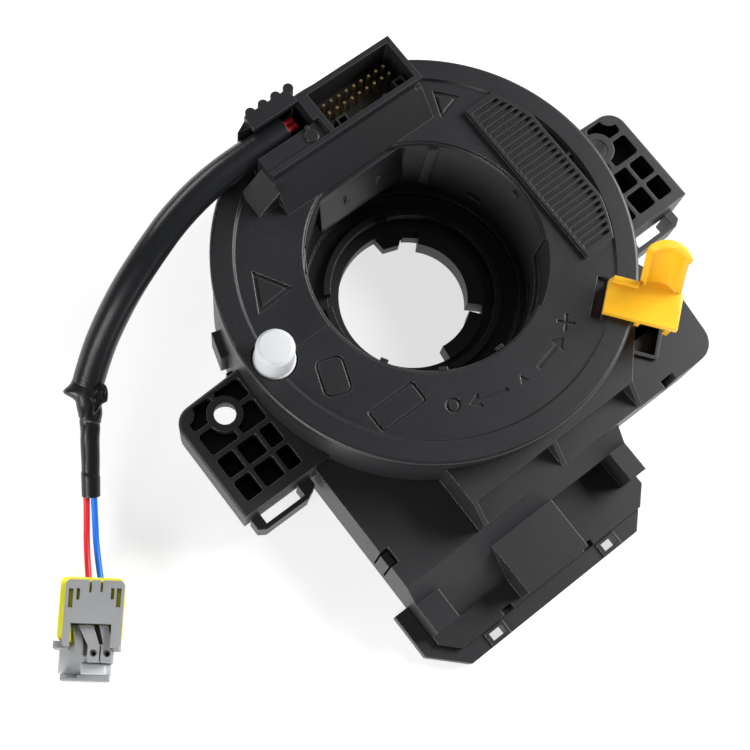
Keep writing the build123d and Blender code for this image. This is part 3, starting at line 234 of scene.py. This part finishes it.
def fold_tape():
    """The loose loop of tape that stands up beside the sleeve's end."""
    bpy.ops.mesh.primitive_uv_sphere_add(
        segments=FOLD_SEGMENTS, ring_count=FOLD_RINGS, radius=MM
    )
    loop = bpy.context.object
    bpy.ops.object.mode_set(mode="EDIT")
    bpy.ops.transform.resize(value=FOLD_HALF_SIZE)
    shape = bmesh.from_edit_mesh(loop.data)
    for face in shape.faces:
        face.select = face.normal.z > FOLD_FACE_SLOPE
    shape.select_flush_mode()
    bmesh.update_edit_mesh(loop.data)
    bpy.ops.mesh.inset(thickness=FOLD_RIM * MM, depth=0.0)
    bpy.ops.transform.translate(value=(0.0, 0.0, -FOLD_HOLLOW * MM))
    bpy.ops.object.mode_set(mode="OBJECT")
    for vertex in loop.data.vertices:
        along = vertex.co.y / (FOLD_HALF_SIZE[1] * MM)
        bulge = along if along < 0 else 1.0 - along * FOLD_TAPER
        vertex.co.x *= FOLD_WAIST + FOLD_BULGE * bulge
        vertex.co.x += FOLD_LEAN * MM * along
    up = Vector(FOLD_ALONG).normalized()
    right = up.cross(Vector(FOLD_FACING)).normalized()
    turn = Matrix((right, up, right.cross(up))).transposed().to_4x4()
    loop.data.transform(Matrix.Translation(Vector(FOLD_CENTRE) * MM) @ turn)
    return loop


tape = wind_tape()
fold = fold_tape()
only_select(tape)
fold.select_set(True)
bpy.ops.object.join()
bpy.ops.object.shade_smooth_by_angle(angle=math.radians(TAPE_SMOOTH_ANGLE))
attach(tape, "rotor")
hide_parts("tape_wrap")


# Moulded pieces whose real edges are rounded

MERGE_DISTANCE = 0.002
FLAT_ANGLE = 1.0
SHARP_ANGLE = 25.0
MOULDED_SMOOTH_ANGLE = 32.0
ROUNDING_STEPS = 3

# Node: its body, and the radius of its edges
SOFT_EDGED = {
    "lock_tab": ("lock", 0.4),
    "drive_peg": ("rotor", 0.5),
    "plug_body": ("rotor", 0.3),
    "plug_cover": ("rotor", 0.3),
    "plug_nose": ("rotor", 0.25),
    "plug_lock": ("rotor", 0.3),
    "plug_lip": ("rotor", 0.25),
}


def soften_edges(node, body, radius):
    """A merged copy of a hard edged node with its edges rounded, which stands for it."""
    source = frame["nodes"][node]
    moulded = bpy.data.objects.new(node + "_moulded", source.data.copy())
    moulded.matrix_world = source.matrix_world.copy()
    bpy.context.scene.collection.objects.link(moulded)
    only_select(moulded)
    bpy.ops.object.mode_set(mode="EDIT")
    bpy.ops.mesh.select_all(action="SELECT")
    bpy.ops.mesh.remove_doubles(threshold=MERGE_DISTANCE * MM)
    bpy.ops.mesh.dissolve_limited(angle_limit=math.radians(FLAT_ANGLE))
    bpy.ops.object.mode_set(mode="OBJECT")
    rounding = moulded.modifiers.new("rounding", "BEVEL")
    rounding.width = radius * MM
    rounding.segments = ROUNDING_STEPS
    rounding.limit_method = "ANGLE"
    rounding.angle_limit = math.radians(SHARP_ANGLE)
    bpy.ops.object.modifier_apply(modifier=rounding.name)
    bpy.ops.object.shade_smooth_by_angle(angle=math.radians(MOULDED_SMOOTH_ANGLE))
    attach(moulded, body)
    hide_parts(node)
    return moulded


slot_of = {part["node"]: part["material_slot"] for part in frame["record"]["subparts"]}
dressed = {sleeve: "sleeve_vinyl", wire_red: "red_wire", wire_blue: "blue_wire", tape: "tape_cloth"}
for node, (body, radius) in SOFT_EDGED.items():
    dressed[soften_edges(node, body, radius)] = slot_of[node]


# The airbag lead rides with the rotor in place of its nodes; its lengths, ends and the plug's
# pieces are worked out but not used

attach(sleeve, "rotor")
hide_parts("sleeve_tube")
lead_length(sleeve)
plug_pieces = [piece for piece in dressed if piece.name.startswith("plug_")]
plug_pieces.append(frame["nodes"]["plug_contacts"])
for wire, node, slot, side in (
    (wire_red, "wire_red", "red_wire", -1),
    (wire_blue, "wire_blue", "blue_wire", 1),
):
    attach(wire, "rotor")
    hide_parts(node)
    [x * MM for x in wire_points(side)[0]]
    lead_length(wire)


# Studio

FLOOR_SIZE = 6.0
FLOOR_DROP = 0.0002

# Name, place, what it is aimed at, size and power of each soft light
SOFTBOXES = (
    ("softbox_right", (0.85, -0.22, 0.55), (0.03, -0.03, 0.02), (0.6, 0.6), 19.0),
    ("softbox_left", (-0.85, -0.2, 0.3), (0.0, 0.0, 0.02), (0.5, 0.3), 6.0),
    ("softbox_back", (-0.1, 0.8, 0.5), (0.0, 0.0, 0.02), (0.5, 0.3), 2.5),
)
AIR_COLOUR = (0.95, 0.97, 1.0, 1.0)
AIR_STRENGTH = 0.12


def add_floor():
    """A floor just under the back face, which isn't part of the object."""
    bpy.ops.mesh.primitive_plane_add(size=FLOOR_SIZE, location=(0.0, 0.0, -FLOOR_DROP))
    board = bpy.context.object
    board.name = "studio_floor"
    return board


def add_softbox(name, place, aim, size, power):
    light = bpy.data.lights.new(name, "AREA")
    light.shape = "RECTANGLE"
    light.size, light.size_y = size
    light.energy = power
    lamp = bpy.data.objects.new(name, light)
    bpy.context.scene.collection.objects.link(lamp)
    lamp.location = place
    lamp.rotation_euler = (Vector(aim) - Vector(place)).to_track_quat("-Z", "Y").to_euler()
    lamp.visible_camera = False


def fill_air():
    """The dim even light from all round."""
    world = bpy.data.worlds.new("studio_air")
    world.use_nodes = True
    air = world.node_tree.nodes["Background"]
    air.inputs["Color"].default_value = AIR_COLOUR
    air.inputs["Strength"].default_value = AIR_STRENGTH
    bpy.context.scene.world = world


floor = add_floor()
for softbox in SOFTBOXES:
    add_softbox(*softbox)
fill_air()
bpy.context.scene.view_settings.view_transform = "Standard"


# How a finish is written down

class Value:
    """A number or colour inside a material, with Python's own operators for its maths."""

    def __init__(self, finish, socket):
        self.finish = finish
        self.socket = socket

    def maths(self, operation, *terms):
        return self.finish.node("Math", {"operation": operation}, dict(enumerate(terms)))

    def __add__(self, other):
        return self.maths("ADD", self, other)

    def __radd__(self, other):
        return self.maths("ADD", other, self)

    def __sub__(self, other):
        return self.maths("SUBTRACT", self, other)

    def __rsub__(self, other):
        return self.maths("SUBTRACT", other, self)

    def __mul__(self, other):
        return self.maths("MULTIPLY", self, other)

    def __rmul__(self, other):
        return self.maths("MULTIPLY", other, self)


class Finish:
    """One procedural finish, built node by node and read from the piece's own coordinates."""

    def __init__(self, name):
        self.material = bpy.data.materials.new(name)
        self.material.use_nodes = True
        self.tree = self.material.node_tree
        self.tree.nodes.clear()
        self.place = self.node("TexCoord", {}, {}, "Object")

    def node(self, kind, settings, sockets, output=0):
        """A node with its settings made first, then the values or links of its sockets."""
        made = self.tree.nodes.new("ShaderNode" + kind)
        for name, setting in settings.items():
            if name == "stops":
                for stop, (position, level) in zip(made.color_ramp.elements, setting):
                    stop.position = position
                    stop.color = shade(level, level, level)
            else:
                setattr(made, name, setting)
        for name, value in sockets.items():
            if isinstance(value, Value):
                self.tree.links.new(value.socket, made.inputs[name])
            else:
                made.inputs[name].default_value = value
        return Value(self, made.outputs[output])

    def noise(self, scale, detail=3.0, roughness=0.5, at=None):
        """Cloudy variation; scale counts its features along one metre."""
        sockets = {"Scale": scale, "Detail": detail, "Roughness": roughness}
        return self.node("TexNoise", {}, {"Vector": at or self.place, **sockets})

    def cells(self, scale):
        """How far a point lies from the middle of its cell."""
        return self.node("TexVoronoi", {}, {"Vector": self.place, "Scale": scale})

    def stretched(self, by):
        return self.node("Mapping", {}, {"Vector": self.place, "Scale": by})

    def ramp(self, value, low, high):
        """0 below low, 1 above high, and even between them."""
        return self.node("ValToRGB", {"stops": ((low, 0.0), (high, 1.0))}, {"Fac": value})

    def mix(self, share, first, second):
        return self.node("Mix", {"data_type": "RGBA"}, {0: share, 6: first, 7: second}, 2)

    def edge(self, radius):
        """How near a point lies to an edge, for edge wear and painted edge highlights, and the
        normal that rounds that edge.
        """
        rounded = self.node("Bevel", {"samples": EDGE_SAMPLES}, {"Radius": radius * MM})
        face = self.node("NewGeometry", {}, {}, "True Normal")
        dot = {"operation": "DOT_PRODUCT"}
        along = self.node("VectorMath", dot, {0: rounded, 1: face}, "Value")
        return self.ramp(1.0 - along, *EDGE_MASK_SPAN), rounded

    def bump(self, height, strength, distance, normal=None):
        """The normal of a fine relief, on top of another normal if one is given."""
        sockets = {"Height": height, "Strength": strength, "Distance": distance * MM}
        if normal is not None:
            sockets["Normal"] = normal
        return self.node("Bump", {}, sockets)

    def done(self, colour, roughness, normal, **constants):
        """The finished material; a constant has its socket's name, with _ for each space."""
        sockets = {"Base Color": colour, "Roughness": roughness, "Normal": normal}
        for name, value in constants.items():
            sockets[name.replace("_", " ")] = value
        shader = self.node("BsdfPrincipled", {}, sockets)
        output = self.tree.nodes.new("ShaderNodeOutputMaterial")
        self.tree.links.new(shader.socket, output.inputs["Surface"])
        return self.material


def shade(r, g, b):
    return (r, g, b, 1.0)


# The finishes of the pieces

EDGE_SAMPLES = 6
EDGE_MASK_SPAN = (0.02, 0.25)

# Features along one metre
FLOW_MARKS = 38.0
SPECKS = 900.0
SCUFFS = 420.0
DUST_CELLS = 260.0
TARNISH_CLOUDS = 700.0
DRAWN_LINES = 2600.0
FLOOR_CLOUDS = 6.0
FLOOR_GRAIN = 900.0

# How much each of a finish's marks changes its colour and its roughness
# The edge share lightens edges both as wear and as a painted highlight.
FLOW_IN_COLOUR, EDGE_WEAR_AND_HIGHLIGHT_IN_COLOUR, DUST_IN_COLOUR = 0.5, 0.6, 0.12
FLOW_IN_GLOSS, SPECKS_IN_GLOSS, WEAR_IN_GLOSS, SCUFFS_IN_GLOSS = 0.1, 0.08, 0.1, 0.06
TARNISH_IN_COLOUR = 0.5
TARNISH_IN_GLOSS, LINES_IN_GLOSS, PIN_WEAR_IN_GLOSS = 0.12, 0.06, 0.05

FLOW_LIGHTENING = 1.35
ACROSS_SCUFFS = (1.0, 6.0, 1.0)
ACROSS_DRAWN_LINES = (6.0, 6.0, 1.0)
SCUFF_SPAN = (0.6, 0.75)
DUST_SPAN = (0.0, 0.05)
DUST_COLOUR = shade(0.35, 0.35, 0.34)
PLASTIC_IOR = 1.5

# Strength and depth in mm of each relief
GRAIN_RELIEF = (0.55, 0.04)
DRAWN_RELIEF = (0.3, 0.01)
FLOOR_RELIEF = (0.05, 0.1)

# Radius in mm of the rounded edges, which wear and which plastics paint lighter as a painted
# highlight
MOULDED_EDGE = 0.35
FINE_EDGE = 0.2
PIN_EDGE = 0.1

FLOOR_SHADES = (shade(0.5, 0.5, 0.5), shade(0.52, 0.52, 0.52))
FLOOR_ROUGHNESS = 0.9
FLOOR_GLOW = 0.7

# Slot: name, colour, colour of edges (wear plus painted highlight), roughness, grain along one
# metre, radius in mm of those edges
PLASTICS = {
    "black_pbt": (
        "black_case_plastic",
        shade(0.016, 0.0165, 0.018), shade(0.13, 0.13, 0.135), 0.36, 3200.0, MOULDED_EDGE,
    ),
    "black_rotor": (
        "black_rotor_plastic",
        shade(0.0115, 0.012, 0.0135), shade(0.13, 0.13, 0.135), 0.3, 3800.0, MOULDED_EDGE,
    ),
    "grey_cam": (
        "cam_plastic",
        shade(0.02, 0.021, 0.023), shade(0.06, 0.06, 0.063), 0.4, 3000.0, MOULDED_EDGE,
    ),
    "natural_gear": (
        "natural_acetal",
        shade(0.72, 0.70, 0.62), shade(0.8, 0.78, 0.72), 0.35, 2600.0, MOULDED_EDGE,
    ),
    "white_pom": (
        "white_acetal",
        shade(0.6, 0.61, 0.62), shade(0.8, 0.8, 0.8), 0.3, 2600.0, MOULDED_EDGE,
    ),
    "amber_lock": (
        "amber_acetal",
        shade(1.0, 0.52, 0.02), shade(1.0, 0.72, 0.2), 0.22, 2600.0, MOULDED_EDGE,
    ),
    "yellow_shell": (
        "yellow_nylon",
        shade(0.92, 0.87, 0.05), shade(0.95, 0.92, 0.25), 0.35, 3000.0, FINE_EDGE,
    ),
    "grey_plug": (
        "grey_nylon",
        shade(0.28, 0.285, 0.29), shade(0.42, 0.42, 0.43), 0.42, 3000.0, FINE_EDGE,
    ),
    "board_green": (
        "solder_mask",
        shade(0.02, 0.14, 0.06), shade(0.05, 0.2, 0.1), 0.25, 2000.0, MOULDED_EDGE,
    ),
    "liner_film": (
        "liner_film",
        shade(0.45, 0.46, 0.47), shade(0.6, 0.6, 0.6), 0.45, 2400.0, MOULDED_EDGE,
    ),
    "cable_film": (
        "cable_film",
        shade(0.55, 0.36, 0.14), shade(0.7, 0.5, 0.25), 0.25, 2000.0, MOULDED_EDGE,
    ),
    "magnet_dark": (
        "sintered_magnet",
        shade(0.08, 0.08, 0.085), shade(0.15, 0.15, 0.15), 0.5, 4200.0, MOULDED_EDGE,
    ),
    "red_wire": (
        "red_wire_skin",
        shade(0.85, 0.025, 0.035), shade(0.9, 0.12, 0.12), 0.28, 2200.0, MOULDED_EDGE,
    ),
    "blue_wire": (
        "blue_wire_skin",
        shade(0.01, 0.2, 0.9), shade(0.05, 0.3, 0.95), 0.28, 2200.0, MOULDED_EDGE,
    ),
    "sleeve_vinyl": (
        "sleeve_vinyl",
        shade(0.008, 0.0085, 0.01), shade(0.03, 0.03, 0.034), 0.2, 1800.0, MOULDED_EDGE,
    ),
    "tape_cloth": (
        "tape_vinyl",
        shade(0.007, 0.007, 0.0075), shade(0.02, 0.02, 0.02), 0.24, 1800.0, MOULDED_EDGE,
    ),
}

# Slot: name, colour, colour of tarnish, roughness
PLATED_METALS = {
    "tin_pin": ("tin_plate", shade(0.72, 0.72, 0.70), shade(0.5, 0.5, 0.49), 0.22),
    "gold_pin": ("gold_plate", shade(0.83, 0.62, 0.26), shade(0.62, 0.42, 0.16), 0.2),
}


def moulded_plastic(name, base, worn_and_highlit, gloss, grain, edge):
    """Injection moulded plastic: fine grain, flow marks, a little dust, and polished edges painted
    lighter as wear plus a painted highlight.
    """
    f = Finish(name)
    edge_mask, rounded = f.edge(edge)
    flow = f.noise(FLOW_MARKS, detail=4.0)
    specks = f.noise(SPECKS, detail=2.0)
    grain_height = f.noise(grain, detail=2.0, roughness=0.6)
    scratches = f.noise(SCUFFS, detail=5.0, roughness=0.7, at=f.stretched(ACROSS_SCUFFS))
    scuffs = f.ramp(scratches, *SCUFF_SPAN)
    clean = f.ramp(f.cells(DUST_CELLS), *DUST_SPAN)
    lighter = shade(*(x * FLOW_LIGHTENING for x in base[:3]))
    colour = f.mix(flow * FLOW_IN_COLOUR, base, lighter)
    # Edges painted lighter: partly wear, partly a painted highlight where rounded edges would catch
    # the light.
    colour = f.mix(edge_mask * EDGE_WEAR_AND_HIGHLIGHT_IN_COLOUR, colour, worn_and_highlit)
    colour = f.mix((1.0 - clean) * DUST_IN_COLOUR, colour, DUST_COLOUR)
    roughness = gloss + flow * FLOW_IN_GLOSS + specks * SPECKS_IN_GLOSS
    roughness = roughness - edge_mask * WEAR_IN_GLOSS + scuffs * SCUFFS_IN_GLOSS
    normal = f.bump(grain_height, *GRAIN_RELIEF, rounded)
    return f.done(colour, roughness, normal, IOR=PLASTIC_IOR)


def plated_metal(name, base, tarnish, gloss):
    """Plated contact metal with drawn lines and faint tarnish."""
    f = Finish(name)
    edge_mask, rounded = f.edge(PIN_EDGE)
    cloud = f.noise(TARNISH_CLOUDS)
    drawn = f.noise(DRAWN_LINES, detail=2.0, at=f.stretched(ACROSS_DRAWN_LINES))
    colour = f.mix(cloud * TARNISH_IN_COLOUR, base, tarnish)
    roughness = gloss + cloud * TARNISH_IN_GLOSS + drawn * LINES_IN_GLOSS
    roughness = roughness - edge_mask * PIN_WEAR_IN_GLOSS
    normal = f.bump(drawn, *DRAWN_RELIEF, rounded)
    return f.done(colour, roughness, normal, Metallic=1.0)


def pale_board():
    """The plain pale floor, which glows a little so that it stays even."""
    f = Finish("pale_board")
    colour = f.mix(f.noise(FLOOR_CLOUDS, detail=2.0), *FLOOR_SHADES)
    normal = f.bump(f.noise(FLOOR_GRAIN), *FLOOR_RELIEF)
    white = shade(1.0, 1.0, 1.0)
    return f.done(
        colour, FLOOR_ROUGHNESS, normal, Emission_Color=white, Emission_Strength=FLOOR_GLOW
    )


finishes = {slot: moulded_plastic(*look) for slot, look in PLASTICS.items()}
finishes.update((slot, plated_metal(*look)) for slot, look in PLATED_METALS.items())
for name, node in frame["nodes"].items():
    dressed[node] = slot_of[name]
for piece, slot in dressed.items():
    piece.data.materials.clear()
    piece.data.materials.append(finishes[slot])
floor.data.materials.append(pale_board())
